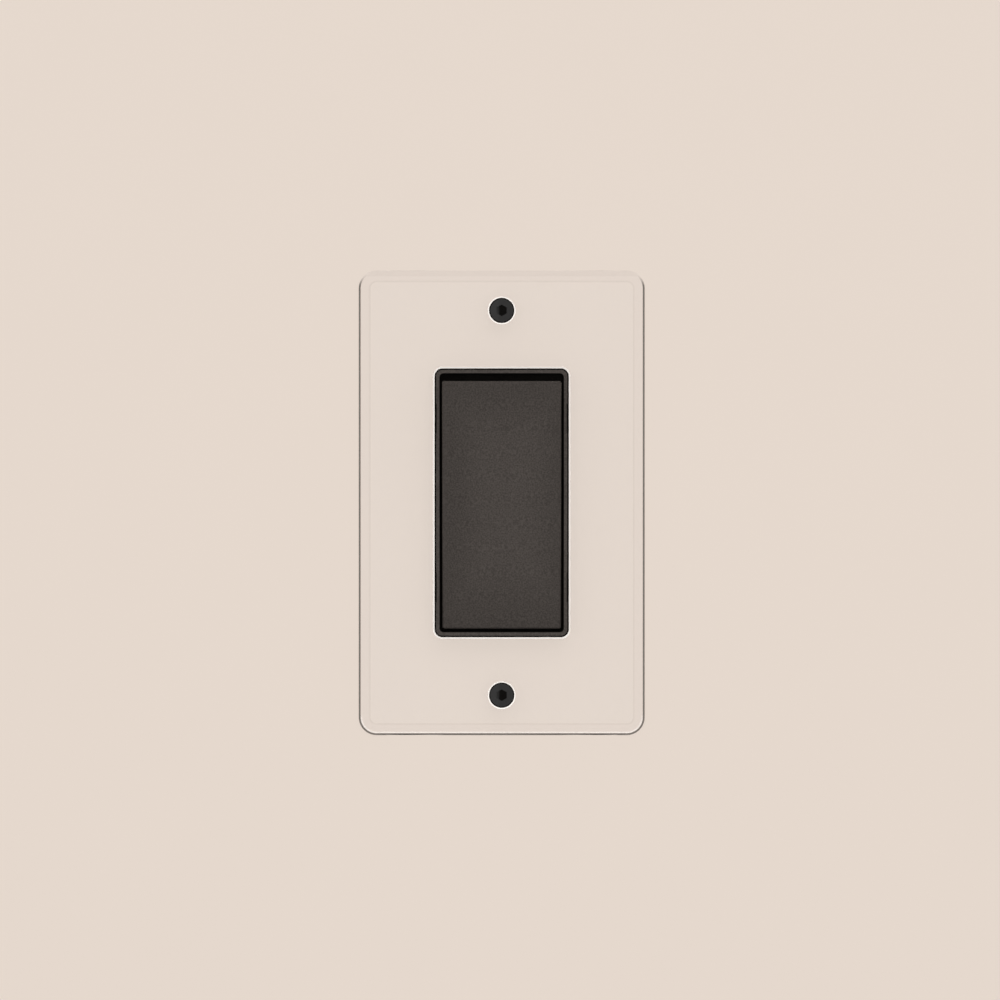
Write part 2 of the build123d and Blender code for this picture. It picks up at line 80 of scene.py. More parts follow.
# Clear plate
ACRYLIC = (0.982, 0.989, 0.998)
ACRYLIC_IOR = 1.49
ACRYLIC_ROUGHNESS = (0.0, 0.025)
ACRYLIC_PATCH = 18 * MM
CAUGHT_REFLECTIONS = 2.5
# Size, depth and strength of the faint waves in its faces
ACRYLIC_WAVES = (9 * MM, 0.002 * MM, 0.4)
# Insets are measured in from the outline. Each gives where a share begins and where it is whole,
# and a third one where it has ended again. The bands further down do the same with places.
PLATE_CORNER_R = 4.5 * MM
OUTLINE_INSET = (0.6 * MM, 0.4 * MM)
GLINT_INSET = (0.95 * MM, 0.78 * MM, 0.6 * MM)
CREASE_INSET = (3.0 * MM, 2.85 * MM, 2.65 * MM)
LIT_EDGE = (57.6 * MM, 54.6 * MM)
GLINT_EDGE = (-52.5 * MM, -55.5 * MM)
GLINT_SHARE = 0.3
CREASE_SHADE_SHARE = 0.5
RIM_DEPTH = (-7.6 * MM, -7.75 * MM)
SEAT_EDGE = (3.42 * MM, 3.52 * MM)
SEAT_REACH = (5 * MM, 6 * MM)
TOP_BAND = (56.8 * MM, 57.0 * MM)
OPENING_REACH_X = (18.2 * MM, 17.6 * MM)
OPENING_REACH_Z = (35.2 * MM, 34.6 * MM)
# Painted shade along the foot of the plate's bevel; the colour after it dims the light let through
# there
EDGE_SHADE = (0.05, 0.049, 0.048)
EDGE_SHADOW = (0.7, 0.69, 0.68)
# Painted shade: a band on the bevel, a fine line along its crease, and a band along the plate's top
BEVEL_SHADE = (0.955, 0.952, 0.965)
CREASE_SHADE = (0.80, 0.79, 0.785)
TOP_BAND_SHADE = (0.93, 0.929, 0.938)
# Painted shade on the plate's side walls, and deeper shade on the walls of its openings
SIDE_WALL_SHADE = (0.74, 0.755, 0.76)
INNER_WALL_SHADE = (0.12, 0.118, 0.115)
# Pale colour of the milled matt flares and of the painted glint, and the painted glow that both
# give off
MATT_EDGE_AND_GLINT = (0.98, 0.95, 0.92)
MATT_GLOW = (0.30, 0.265, 0.235)

# Facing bands, in which 1 faces the front squarely and 0 stands at right angles to it
PLATE_SIDE = (0.5, 0.3)
EDGE_SHADE_SIDE = (0.5, 0.35)
FLARE_SLOPE = (0.9, 0.85)
BEVEL_SLOPE = (0.99, 0.982)
BEZEL_FLANK = (0.9, 0.75)
ROCKER_FLANK = (0.6, 0.3)

# Bronze plastic of the frame and the rocker
BRONZE = (0.0562, 0.0488, 0.0443)
# Near black, for painted shade on the bronze
BRONZE_SHADE = (0.0008, 0.0007, 0.0006)
BRONZE_SPECULAR = 0.2
FLECK_SIZE = 0.38 * MM
FLECK_STRENGTH = 0.26
# How far down the frame's well goes dark with painted shade
WELL_BAND = (-8.9 * MM, -7.6 * MM)
# Painted shade in the form of dark nicks at the frame's outer edge
NICK_REACH = (16.28 * MM, 16.4 * MM)
NICK_START = (17.4 * MM, 17.6 * MM)
NICK_END = (25.1 * MM, 24.9 * MM)
# Painted shade towards the rocker's rim, where its lighter middle ends
RIM_SHADE_MIDDLE_X = 1.2 * MM
RIM_SHADE_BAND_X = (3.5 * MM, 15.5 * MM)
RIM_SHADE_BAND_Z = (12 * MM, 31 * MM)
RIM_SHADE_SHARE = 0.22

# Black plate screws, with painted shade in a rim round the head and in the sockets but for their
# left side, which is left as if lit
SCREW_SPECULAR = 0.12
SCREW_SHADE = (0.0015, 0.0015, 0.0015)
HEAD_RIM = (2.8 * MM, 2.95 * MM)
SOCKET_BAND_Y = (-8.3 * MM, -7.9 * MM)
SOCKET_BAND_X = (-1.0 * MM, -0.4 * MM)

# The yoke, whose front gets painted shade where it lies under the frame and close round it
YOKE_SHADE = (0.01, 0.01, 0.01)
YOKE_FRONT = (-0.8, -0.9)
YOKE_BAND_X = (17.5 * MM, 17.2 * MM)
YOKE_BAND_Z = (34.5 * MM, 34.2 * MM)

# Each plain finish: its colour, its lowest and highest roughness, how much the colour varies,
# the size of its patches, the size and depth of the grain, and how metallic it is
FINISHES = {
    "bronze": (BRONZE, (0.52, 0.62), 0.05, 6 * MM, 0.3 * MM, 0.014 * MM, 0.0),
    "black_plastic": (
        (0.016, 0.016, 0.017), (0.34, 0.52), 0.15, 9 * MM, 0.35 * MM, 0.01 * MM, 0.0
    ),
    "natural_plastic": (
        (0.62, 0.60, 0.53), (0.3, 0.45), 0.04, 4 * MM, 0.3 * MM, 0.006 * MM, 0.0
    ),
    "black_steel": (
        (0.0325, 0.0325, 0.0328), (0.42, 0.56), 0.12, 1.5 * MM, 0.15 * MM, 0.004 * MM, 0.0
    ),
    "zinc_steel": ((0.60, 0.61, 0.61), (0.24, 0.42), 0.10, 7 * MM, 0.5 * MM, 0.006 * MM, 1.0),
    "zinc_yoke": ((0.52, 0.53, 0.53), (0.38, 0.52), 0.10, 7 * MM, 0.5 * MM, 0.006 * MM, 1.0),
    "bright_steel": ((0.66, 0.66, 0.66), (0.16, 0.26), 0.05, 3 * MM, 0.2 * MM, 0.002 * MM, 1.0),
    "spring_steel": (
        (0.40, 0.40, 0.41), (0.22, 0.36), 0.12, 2 * MM, 0.15 * MM, 0.003 * MM, 1.0
    ),
    "brass": ((0.72, 0.48, 0.20), (0.22, 0.40), 0.08, 5 * MM, 0.4 * MM, 0.004 * MM, 1.0),
    "silver": ((0.86, 0.85, 0.82), (0.2, 0.36), 0.06, 1.5 * MM, 0.2 * MM, 0.003 * MM, 1.0),
    "green_steel": ((0.035, 0.22, 0.075), (0.24, 0.4), 0.16, 2 * MM, 0.3 * MM, 0.004 * MM, 0.6),
    "fibre": ((0.40, 0.20, 0.10), (0.6, 0.78), 0.14, 2.5 * MM, 0.25 * MM, 0.02 * MM, 0.0),
}
PLAIN_SPECULAR = 0.5
# The noise lies between these two values almost everywhere
NOISE_RANGE = (0.3, 0.7)
GRAIN_NOISE = 0.6


def box_corners(node):
    """The lowest and the highest corner of a node at rest."""
    low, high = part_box(node)
    return Vector(low), Vector(high)


def box_centre(node):
    low, high = box_corners(node)
    return (low + high) / 2


plate_low, plate_high = box_corners("front_plate")
plate_screw_z = box_centre("plate_screw_upper").z


# Materials

def new_material(name):
    material = bpy.data.materials.new(name)
    material.use_nodes = True
    tree = material.node_tree
    return material, tree, tree.nodes["Principled BSDF"]


def noise_node(tree, size, detail=2.0, roughness=0.5):
    """Noise in object space whose features are about the given size across, in metres."""
    place = tree.nodes.new("ShaderNodeTexCoord")
    noise = tree.nodes.new("ShaderNodeTexNoise")
    noise.inputs["Scale"].default_value = 1 / size
    noise.inputs["Detail"].default_value = detail
    noise.inputs["Roughness"].default_value = roughness
    tree.links.new(place.outputs["Object"], noise.inputs["Vector"])
    return noise


def vary_color(tree, bsdf, color, share, size):
    """Goes by soft noise between a darker and a lighter colour, each off by the share."""
    noise = noise_node(tree, size, detail=3.0)
    darker = [c * (1 - share) for c in color]
    lighter = [min(1.0, c * (1 + share)) for c in color]
    mixed = two_colors(tree, noise.outputs["Fac"], darker, lighter)
    tree.links.new(mixed, bsdf.inputs["Base Color"])


def vary_roughness(tree, bsdf, low, high, size):
    noise = noise_node(tree, size, detail=4.0)
    spread = tree.nodes.new("ShaderNodeMapRange")
    spread.inputs["From Min"].default_value = NOISE_RANGE[0]
    spread.inputs["From Max"].default_value = NOISE_RANGE[1]
    spread.inputs["To Min"].default_value = low
    spread.inputs["To Max"].default_value = high
    tree.links.new(noise.outputs["Fac"], spread.inputs["Value"])
    tree.links.new(spread.outputs["Result"], bsdf.inputs["Roughness"])


def add_bump(tree, bsdf, size, depth, strength=1.0):
    noise = noise_node(tree, size, roughness=GRAIN_NOISE)
    bump = tree.nodes.new("ShaderNodeBump")
    bump.inputs["Strength"].default_value = strength
    bump.inputs["Distance"].default_value = depth
    tree.links.new(noise.outputs["Fac"], bump.inputs["Height"])
    tree.links.new(bump.outputs["Normal"], bsdf.inputs["Normal"])


def object_axis(tree, output, axis):
    """One coordinate of a point, or of its surface normal, in the object's own space, or of the
    direction in the world's."""
    place = tree.nodes.new("ShaderNodeTexCoord")
    split = tree.nodes.new("ShaderNodeSeparateXYZ")
    tree.links.new(place.outputs[output], split.inputs["Vector"])
    return split.outputs[axis]


def size_of(tree, value):
    """The value without its sign."""
    positive = tree.nodes.new("ShaderNodeMath")
    positive.operation = "ABSOLUTE"
    tree.links.new(value, positive.inputs[0])
    return positive.outputs["Value"]


def ramp(tree, value, start, end):
    """A smooth share that goes from 0 at the start value to 1 at the end value."""
    spread = tree.nodes.new("ShaderNodeMapRange")
    spread.interpolation_type = "SMOOTHSTEP"
    spread.inputs["From Min"].default_value = start
    spread.inputs["From Max"].default_value = end
    tree.links.new(value, spread.inputs["Value"])
    return spread.outputs["Result"]


def greater(tree, first, second):
    larger = tree.nodes.new("ShaderNodeMath")
    larger.operation = "MAXIMUM"
    tree.links.new(first, larger.inputs[0])
    tree.links.new(second, larger.inputs[1])
    return larger.outputs["Value"]


def flank_share(tree, start, end):
    """1 on surfaces that stand square to the front, such as walls, and 0 on the front, with the
    change between a facing band's start and its end."""
    return ramp(tree, size_of(tree, object_axis(tree, "Normal", "Y")), start, end)


def combine(tree, operation, first, second):
    """Joins two values, or a value and a number, by a clamped operation."""
    math_node = tree.nodes.new("ShaderNodeMath")
    math_node.operation = operation
    math_node.use_clamp = True
    for socket, value in zip(math_node.inputs, (first, second)):
        if isinstance(value, float):
            socket.default_value = value
        else:
            tree.links.new(value, socket)
    return math_node.outputs["Value"]


def length_of(tree, across, along):
    """The length of a line from its two parts."""
    parts = tree.nodes.new("ShaderNodeCombineXYZ")
    tree.links.new(across, parts.inputs["X"])
    tree.links.new(along, parts.inputs["Y"])
    length = tree.nodes.new("ShaderNodeVectorMath")
    length.operation = "LENGTH"
    tree.links.new(parts.outputs["Vector"], length.inputs[0])
    return length.outputs["Value"]


def distance_from(tree, value, middle):
    """The value less a number, with its sign."""
    beyond = tree.nodes.new("ShaderNodeMath")
    beyond.operation = "SUBTRACT"
    beyond.inputs[1].default_value = middle
    tree.links.new(value, beyond.inputs[0])
    return beyond.outputs["Value"]


def radius_from_screw(tree):
    """How far a point is from the axis of the nearer plate screw."""
    height = size_of(tree, object_axis(tree, "Object", "Z"))
    beyond = distance_from(tree, height, plate_screw_z)
    return length_of(tree, object_axis(tree, "Object", "X"), beyond)


def outline_distance(tree):
    """How far a point of the plate lies out from the centre lines of its rounded corners. On the
    outline this is the corner radius, so the inset is the corner radius less the distance."""
    over = []
    for axis, half in (("X", plate_high.x), ("Z", plate_high.z)):
        place = size_of(tree, object_axis(tree, "Object", axis))
        over.append(combine(tree, "SUBTRACT", place, half - PLATE_CORNER_R))
    return length_of(tree, *over)


def inset_ramp(tree, distance, start, end):
    """0 further in than the start inset, 1 further out than the end inset."""
    return ramp(tree, distance, PLATE_CORNER_R - start, PLATE_CORNER_R - end)


def inset_line(tree, distance, start, middle, end):
    """A fine line that follows the outline: 1 at the middle inset, 0 past the other two."""
    rise = inset_ramp(tree, distance, start, middle)
    return combine(tree, "SUBTRACT", rise, inset_ramp(tree, distance, middle, end))


def two_colors(tree, share, low, high):
    """Goes from the low colour to the high one by a share."""
    mix = tree.nodes.new("ShaderNodeMix")
    mix.data_type = "RGBA"
    mix.inputs["A"].default_value = (*low, 1.0)
    mix.inputs["B"].default_value = (*high, 1.0)
    tree.links.new(share, mix.inputs["Factor"])
    return mix.outputs["Result"]


def mix_shaders(tree, share, first, second):
    mix = tree.nodes.new("ShaderNodeMixShader")
    tree.links.new(share, mix.inputs["Fac"])
    tree.links.new(first, mix.inputs[1])
    tree.links.new(second, mix.inputs[2])
    return mix.outputs["Shader"]


def tint(tree, bsdf, share, color):
    """Lays a colour over the base colour by a share."""
    base = bsdf.inputs["Base Color"]
    mix = tree.nodes.new("ShaderNodeMix")
    mix.data_type = "RGBA"
    if base.is_linked:
        tree.links.new(base.links[0].from_socket, mix.inputs["A"])
    else:
        mix.inputs["A"].default_value = base.default_value
    mix.inputs["B"].default_value = (*color, 1.0)
    tree.links.new(share, mix.inputs["Factor"])
    tree.links.new(mix.outputs["Result"], base)


def speckle(tree, bsdf, size, strength):
    """Fine light and dark flecks in the colour."""
    base = bsdf.inputs["Base Color"]
    noise = noise_node(tree, size, detail=1.0)
    level = tree.nodes.new("ShaderNodeMapRange")
    level.inputs["From Min"].default_value = NOISE_RANGE[0]
    level.inputs["From Max"].default_value = NOISE_RANGE[1]
    level.inputs["To Min"].default_value = 1 - strength
    level.inputs["To Max"].default_value = 1 + strength
    scale = tree.nodes.new("ShaderNodeVectorMath")
    scale.operation = "SCALE"
    tree.links.new(noise.outputs["Fac"], level.inputs["Value"])
    tree.links.new(base.links[0].from_socket, scale.inputs[0])
    tree.links.new(level.outputs["Result"], scale.inputs["Scale"])
    tree.links.new(scale.outputs["Vector"], base)


def finish_material(name, finish, specular=PLAIN_SPECULAR):
    """A moulded, plated or machined surface: soft colour and gloss variation, and fine grain."""
    color, rough, share, patch, grain, depth, metallic = FINISHES[finish]
    material, tree, bsdf = new_material(name)
    bsdf.inputs["Metallic"].default_value = metallic
    bsdf.inputs["Specular IOR Level"].default_value = specular
    vary_color(tree, bsdf, color, share, patch)
    vary_roughness(tree, bsdf, *rough, patch)
    add_bump(tree, bsdf, grain, depth)
    return material, tree, bsdf


def edge_shade_share(tree, distance, height):
    """Painted shade along the foot of the plate's bevel, which sees along the slab, on all but its
    upper edge, where light comes in."""
    outline = inset_ramp(tree, distance, *OUTLINE_INSET)
    edge_shade = combine(tree, "MULTIPLY", outline, ramp(tree, height, *LIT_EDGE))
    return combine(tree, "SUBTRACT", edge_shade, flank_share(tree, *EDGE_SHADE_SIDE))


def matt_and_glint_share(tree, distance, height):
    """The flares of the plate's openings, milled matt and pale, and the glint at its foot, a
    painted highlight.
    """
    near_front = ramp(tree, object_axis(tree, "Object", "Y"), *RIM_DEPTH)
    flare = combine(tree, "MULTIPLY", flank_share(tree, *FLARE_SLOPE), near_front)
    flare = combine(tree, "SUBTRACT", flare, flank_share(tree, *PLATE_SIDE))
    flare = combine(tree, "SUBTRACT", flare, inset_ramp(tree, distance, *CREASE_INSET[:2]))
    from_screw = radius_from_screw(tree)
    seat_edge = ramp(tree, from_screw, *SEAT_EDGE)
    seat_edge = combine(tree, "SUBTRACT", seat_edge, ramp(tree, from_screw, *SEAT_REACH))
    flare = combine(tree, "SUBTRACT", flare, seat_edge)
    glint = inset_line(tree, distance, *GLINT_INSET)
    glint = combine(tree, "MULTIPLY", glint, ramp(tree, height, *GLINT_EDGE))
    return greater(tree, flare, combine(tree, "MULTIPLY", glint, GLINT_SHARE))


def inner_wall_shade_share(tree, height):
    """The walls of the opening, which face the frame, where shade is painted."""
    across = ramp(tree, size_of(tree, object_axis(tree, "Object", "X")), *OPENING_REACH_X)
    along = ramp(tree, size_of(tree, height), *OPENING_REACH_Z)
    inner_wall_shade = combine(tree, "MULTIPLY", across, along)
    return combine(tree, "MULTIPLY", inner_wall_shade, flank_share(tree, *PLATE_SIDE))


def acrylic_material(name):
    """Clear cast acrylic. It bends what the camera sees through it, while lamp light and light
    bounced off matt surfaces pass straight, so that each is counted once. A view caught between
    its faces leaves it after a few reflections. Shade is painted on its bevel, along its crease
    and top, at the foot of its bevel, on its side walls and on the walls of its openings. Its matt
    edges and the glint at its foot have a painted glow, in place of the light that the slab guides
    to them."""
    material, tree, bsdf = new_material(name)
    bsdf.inputs["Base Color"].default_value = (*ACRYLIC, 1.0)
    bsdf.inputs["IOR"].default_value = ACRYLIC_IOR
    bsdf.inputs["Emission Strength"].default_value = 1.0
    vary_roughness(tree, bsdf, *ACRYLIC_ROUGHNESS, ACRYLIC_PATCH)
    add_bump(tree, bsdf, *ACRYLIC_WAVES)

    distance = outline_distance(tree)
    height = object_axis(tree, "Object", "Z")
    edge_shade = edge_shade_share(tree, distance, height)
    matt_and_glint = matt_and_glint_share(tree, distance, height)
    crease_shade = combine(tree, "MULTIPLY", inset_line(tree, distance, *CREASE_INSET), CREASE_SHADE_SHARE)
    # Painted shade on the bevel, along its crease and along the top
    tint(tree, bsdf, flank_share(tree, *BEVEL_SLOPE), BEVEL_SHADE)
    tint(tree, bsdf, ramp(tree, height, *TOP_BAND), TOP_BAND_SHADE)
    tint(tree, bsdf, crease_shade, CREASE_SHADE)
    # Painted shade along the foot of the bevel
    tint(tree, bsdf, edge_shade, EDGE_SHADE)
    # Painted shade on the side walls and on the walls of the openings
    tint(tree, bsdf, flank_share(tree, *PLATE_SIDE), SIDE_WALL_SHADE)
    tint(tree, bsdf, inner_wall_shade_share(tree, height), INNER_WALL_SHADE)
    # The matt flares' own pale colour and the painted glint, then the painted glow they give off
    tint(tree, bsdf, matt_and_glint, MATT_EDGE_AND_GLINT)
    tree.links.new(combine(tree, "SUBTRACT", 1.0, matt_and_glint), bsdf.inputs["Transmission Weight"])
    glow = two_colors(tree, matt_and_glint, (0.0, 0.0, 0.0), MATT_GLOW)
    tree.links.new(glow, bsdf.inputs["Emission Color"])

    light = tree.nodes.new("ShaderNodeLightPath")
    caught = tree.nodes.new("ShaderNodeMath")
    caught.operation = "GREATER_THAN"
    caught.inputs[1].default_value = CAUGHT_REFLECTIONS
    tree.links.new(light.outputs["Glossy Depth"], caught.inputs[0])
    straight = greater(tree, light.outputs["Is Shadow Ray"], light.outputs["Is Diffuse Ray"])
    straight = greater(tree, straight, caught.outputs["Value"])
    clear = tree.nodes.new("ShaderNodeBsdfTransparent")
    shadow = two_colors(tree, edge_shade, (1.0, 1.0, 1.0), EDGE_SHADOW)
    tree.links.new(shadow, clear.inputs["Color"])
    mixed = mix_shaders(tree, straight, bsdf.outputs["BSDF"], clear.outputs["BSDF"])
    tree.links.new(mixed, tree.nodes["Material Output"].inputs["Surface"])
    return material


def wall_material(name):
    """Pale painted wall, whose tone is partly its own where it is looked at, so that it stays
    even and its shadows faint. From behind it lets the view through to the switch's back."""
    material, tree, bsdf = new_material(name)
    bsdf.inputs["Specular IOR Level"].default_value = WALL_SPECULAR
    bsdf.inputs["Roughness"].default_value = WALL_ROUGHNESS
    vary_color(tree, bsdf, WALL_COLOR, WALL_PATCH_SHARE, WALL_PATCH)
    add_bump(tree, bsdf, *WALL_GRAIN)
    light = tree.nodes.new("ShaderNodeLightPath")
    side = tree.nodes.new("ShaderNodeNewGeometry")
    glow = tree.nodes.new("ShaderNodeEmission")
    glow.inputs["Color"].default_value = (*WALL_COLOR, 1.0)
    glow.inputs["Strength"].default_value = 1.0
    clear = tree.nodes.new("ShaderNodeBsdfTransparent")
    looked_at = greater(tree, light.outputs["Is Camera Ray"], light.outputs["Is Glossy Ray"])
    looked_at = greater(tree, looked_at, light.outputs["Is Transmission Ray"])
    glow_share = combine(tree, "MULTIPLY", looked_at, WALL_GLOW)
    painted = mix_shaders(tree, glow_share, bsdf.outputs["BSDF"], glow.outputs["Emission"])
    camera_ray = light.outputs["Is Camera Ray"]
    from_behind = combine(tree, "MULTIPLY", camera_ray, side.outputs["Backfacing"])
    seen = mix_shaders(tree, from_behind, painted, clear.outputs["BSDF"])
    tree.links.new(seen, tree.nodes["Material Output"].inputs["Surface"])
    return material


def bronze_material(name):
    """Dark bronze moulded plastic with a fine spark-eroded grain."""
    material, tree, bsdf = finish_material(name, "bronze", BRONZE_SPECULAR)
    speckle(tree, bsdf, FLECK_SIZE, FLECK_STRENGTH)
    return material, tree, bsdf


def bezel_material(name):
    """The frame's bronze, near black with painted shade on its flanks, down in its well and in
    nicks at its outer edge.
    """
    material, tree, bsdf = bronze_material(name)
    depth = ramp(tree, object_axis(tree, "Object", "Y"), *WELL_BAND)
    shade_share = greater(tree, depth, flank_share(tree, *BEZEL_FLANK))
    edge = ramp(tree, size_of(tree, object_axis(tree, "Object", "X")), *NICK_REACH)
    height = size_of(tree, object_axis(tree, "Object", "Z"))
    nick_shade = combine(tree, "MULTIPLY", ramp(tree, height, *NICK_START), ramp(tree, height, *NICK_END))
    nick_shade = combine(tree, "MULTIPLY", nick_shade, edge)
    # Painted shade on the flanks, in the well and in the nicks
    tint(tree, bsdf, greater(tree, shade_share, nick_shade), BRONZE_SHADE)
    return material


def rocker_material(name):
    """The rocker's bronze, with painted shade towards its rim, so that its middle is a little
    lighter, and on its flanks.
    """
    material, tree, bsdf = bronze_material(name)
    from_middle = distance_from(tree, object_axis(tree, "Object", "X"), RIM_SHADE_MIDDLE_X)
    across = ramp(tree, size_of(tree, from_middle), *RIM_SHADE_BAND_X)
    along = ramp(tree, size_of(tree, object_axis(tree, "Object", "Z")), *RIM_SHADE_BAND_Z)
    rim_shade = combine(tree, "MULTIPLY", greater(tree, across, along), RIM_SHADE_SHARE)
    # Painted shade towards the rim, and then on the flanks
    tint(tree, bsdf, rim_shade, BRONZE_SHADE)
    tint(tree, bsdf, flank_share(tree, *ROCKER_FLANK), BRONZE_SHADE)
    return material


def black_steel_material(name):
    """Black screws with painted shade in a rim round the head and in the sockets, but for the side
    the light would meet.
    """
    material, tree, bsdf = finish_material(name, "black_steel", SCREW_SPECULAR)
    depth = ramp(tree, object_axis(tree, "Object", "Y"), *SOCKET_BAND_Y)
    side = ramp(tree, object_axis(tree, "Object", "X"), *SOCKET_BAND_X)
    socket = combine(tree, "MULTIPLY", depth, side)
    shade_share = greater(tree, socket, ramp(tree, radius_from_screw(tree), *HEAD_RIM))
    # Painted shade on the head's rim and in the sockets
    tint(tree, bsdf, shade_share, SCREW_SHADE)
    return material


def yoke_material(name):
    """Zinc on steel, with painted shade on the front near the frame."""
    material, tree, bsdf = finish_material(name, "zinc_yoke")
    front = ramp(tree, object_axis(tree, "Normal", "Y"), *YOKE_FRONT)
    across = ramp(tree, size_of(tree, object_axis(tree, "Object", "X")), *YOKE_BAND_X)
    along = ramp(tree, size_of(tree, object_axis(tree, "Object", "Z")), *YOKE_BAND_Z)
    near_frame = combine(tree, "MULTIPLY", across, along)
    # Painted shade on the front near the frame
    tint(tree, bsdf, combine(tree, "MULTIPLY", near_frame, front), YOKE_SHADE)
    return material


PLAIN_SLOTS = (
    "black_plastic",
    "natural_plastic",
    "zinc_steel",
    "bright_steel",
    "spring_steel",
    "brass",
    "silver",
    "green_steel",
    "fibre",
)
SLOT_MATERIALS = {slot: finish_material(slot, slot)[0] for slot in PLAIN_SLOTS}
SLOT_MATERIALS["acrylic"] = acrylic_material("acrylic_clear")
SLOT_MATERIALS["bronze_plastic"] = bezel_material("bronze_bezel")
SLOT_MATERIALS["black_steel"] = black_steel_material("black_steel")
NODE_MATERIALS = {"rocker": rocker_material("bronze_rocker"), "yoke": yoke_material("zinc_yoke")}
node_slots = {row["node"]: row["material_slot"] for row in frame["record"]["subparts"]}
for node, obj in frame["nodes"].items():
    material = NODE_MATERIALS.get(node, SLOT_MATERIALS[node_slots[node]])
    for slot in obj.material_slots:
        slot.material = material


# Turned pieces
STEPS_ROUND = 48
RING_ANGLES = [math.tau * step / STEPS_ROUND for step in range(STEPS_ROUND)]
THREAD_ROWS = 6
THREAD_CREST = (0.0, 0.1, 0.9, 1.0, 0.9, 0.1)
POINT_SLOPE = 0.6
MERGE_DISTANCE = 1e-7
SMOOTH_ANGLE = 32.0
CROSS_TAPER = 0.42


def hexagon(across_flats):
    """The distance from the axis to a hexagon with corners up and down, for each angle."""
    def reach(angle):
        turn = (angle + math.pi / 2) % (math.pi / 3) - math.pi / 6
        return across_flats / 2 / math.cos(turn)

    return reach


def circle(radius):
    return lambda angle: radius


def add_ring(bm, reach, height):
    return [
        bm.verts.new((reach(a) * math.cos(a), reach(a) * math.sin(a), height)) for a in RING_ANGLES
    ]


def join_loops(bm, first, second):
    """Walls between two closed loops that have the same number of points."""
    count = len(first)
    for i in range(count):
        j = (i + 1) % count
        bm.faces.new((first[i], first[j], second[j], second[i]))


def join_rings(bm, rings):
    """Walls between rings of points, one after the other."""
    for first, second in zip(rings, rings[1:]):
        join_loops(bm, first, second)


def fan(bm, ring, height):
    """Closes a ring with a shallow cone to a point on the axis."""
    tip = bm.verts.new((0, 0, height))
    for i in range(STEPS_ROUND):
        bm.faces.new((ring[i], ring[(i + 1) % STEPS_ROUND], tip))


def rounded_edge(outer, top, round_r, steps=4):
    """Profile points (radius, height) of a quarter round between a side and a top."""
    points = []
    for step in range(steps + 1):
        turn = math.pi / 2 * step / steps
        points.append(
            (outer - round_r + round_r * math.cos(turn), top - round_r + round_r * math.sin(turn))
        )
    return points


def add_thread(bm, start, length, major, minor, pitch, point):
    """A helical thread from the start height down by its length, ending in a blunt point. It
    starts on a ring of the minor radius, so it joins what stands above it."""
    turns = math.ceil(length / pitch) + 2
    rows = []
    for row in range(-THREAD_ROWS, turns * THREAD_ROWS):
        points = []
        for angle in RING_ANGLES:
            depth = (row / THREAD_ROWS + angle / math.tau) * pitch
            depth = min(max(depth, 0.0), length)
            rise = THREAD_CREST[row % THREAD_ROWS] * min(1.0, depth / pitch)
            radius = minor + (major - minor) * rise
            if length - depth < point:
                radius = min(radius, minor - POINT_SLOPE * (point - length + depth))
            across = radius * math.cos(angle)
            along = radius * math.sin(angle)
            points.append(bm.verts.new((across, along, start - depth)))
        rows.append(points)
    for index in range(len(rows) - 1):
        for i in range(STEPS_ROUND):
            j = (i + 1) % STEPS_ROUND
            near = index if j else index + THREAD_ROWS
            if near + 1 < len(rows):
                bm.faces.new((rows[index][i], rows[index + 1][i], rows[near + 1][j], rows[near][j]))
    bm.faces.new(rows[-1])


def merge_doubles(bm):
    bmesh.ops.remove_doubles(bm, verts=bm.verts, dist=MERGE_DISTANCE)
    bmesh.ops.dissolve_degenerate(bm, edges=bm.edges, dist=MERGE_DISTANCE)
    bmesh.ops.recalc_face_normals(bm, faces=bm.faces)


def shade(mesh):
    for polygon in mesh.polygons:
        polygon.use_smooth = True
    mesh.set_sharp_from_angle(angle=math.radians(SMOOTH_ANGLE))


def new_object(name, data):
    obj = bpy.data.objects.new(name, data)
    bpy.context.scene.collection.objects.link(obj)
    return obj


def mesh_of(bm, name):
    merge_doubles(bm)
    mesh = bpy.data.meshes.new(name)
    bm.to_mesh(mesh)
    bm.free()
    return mesh


def cut(mesh, cutter, name):
    """The mesh with the cutter's volume taken away."""
    body = new_object(name, mesh)
    tool = new_object(name + "_cutter", cutter)
    boolean = body.modifiers.new("cut", "BOOLEAN")
    boolean.operation = "DIFFERENCE"
    boolean.solver = "EXACT"
    boolean.object = tool
    bpy.context.view_layer.update()
    graph = bpy.context.evaluated_depsgraph_get()
    result = bpy.data.meshes.new_from_object(body.evaluated_get(graph))
    bpy.data.objects.remove(body)
    bpy.data.objects.remove(tool)
    result.name = name
    return result


def slot_cutter(half_len, half_width, depth, top, break_w):
    """A screwdriver slot, wider at its mouth by the broken edge."""
    bm = bmesh.new()
    profile = (
        (-half_width, top - depth),
        (half_width, top - depth),
        (half_width, top - break_w),
        (half_width + 2 * break_w, top + break_w),
        (-half_width - 2 * break_w, top + break_w),
        (-half_width, top - break_w),
    )
    near = [bm.verts.new((-half_len, y, z)) for y, z in profile]
    far = [bm.verts.new((half_len, y, z)) for y, z in profile]
    bm.faces.new(near)
    bm.faces.new(far)
    join_loops(bm, near, far)
    return mesh_of(bm, "slot_cutter")


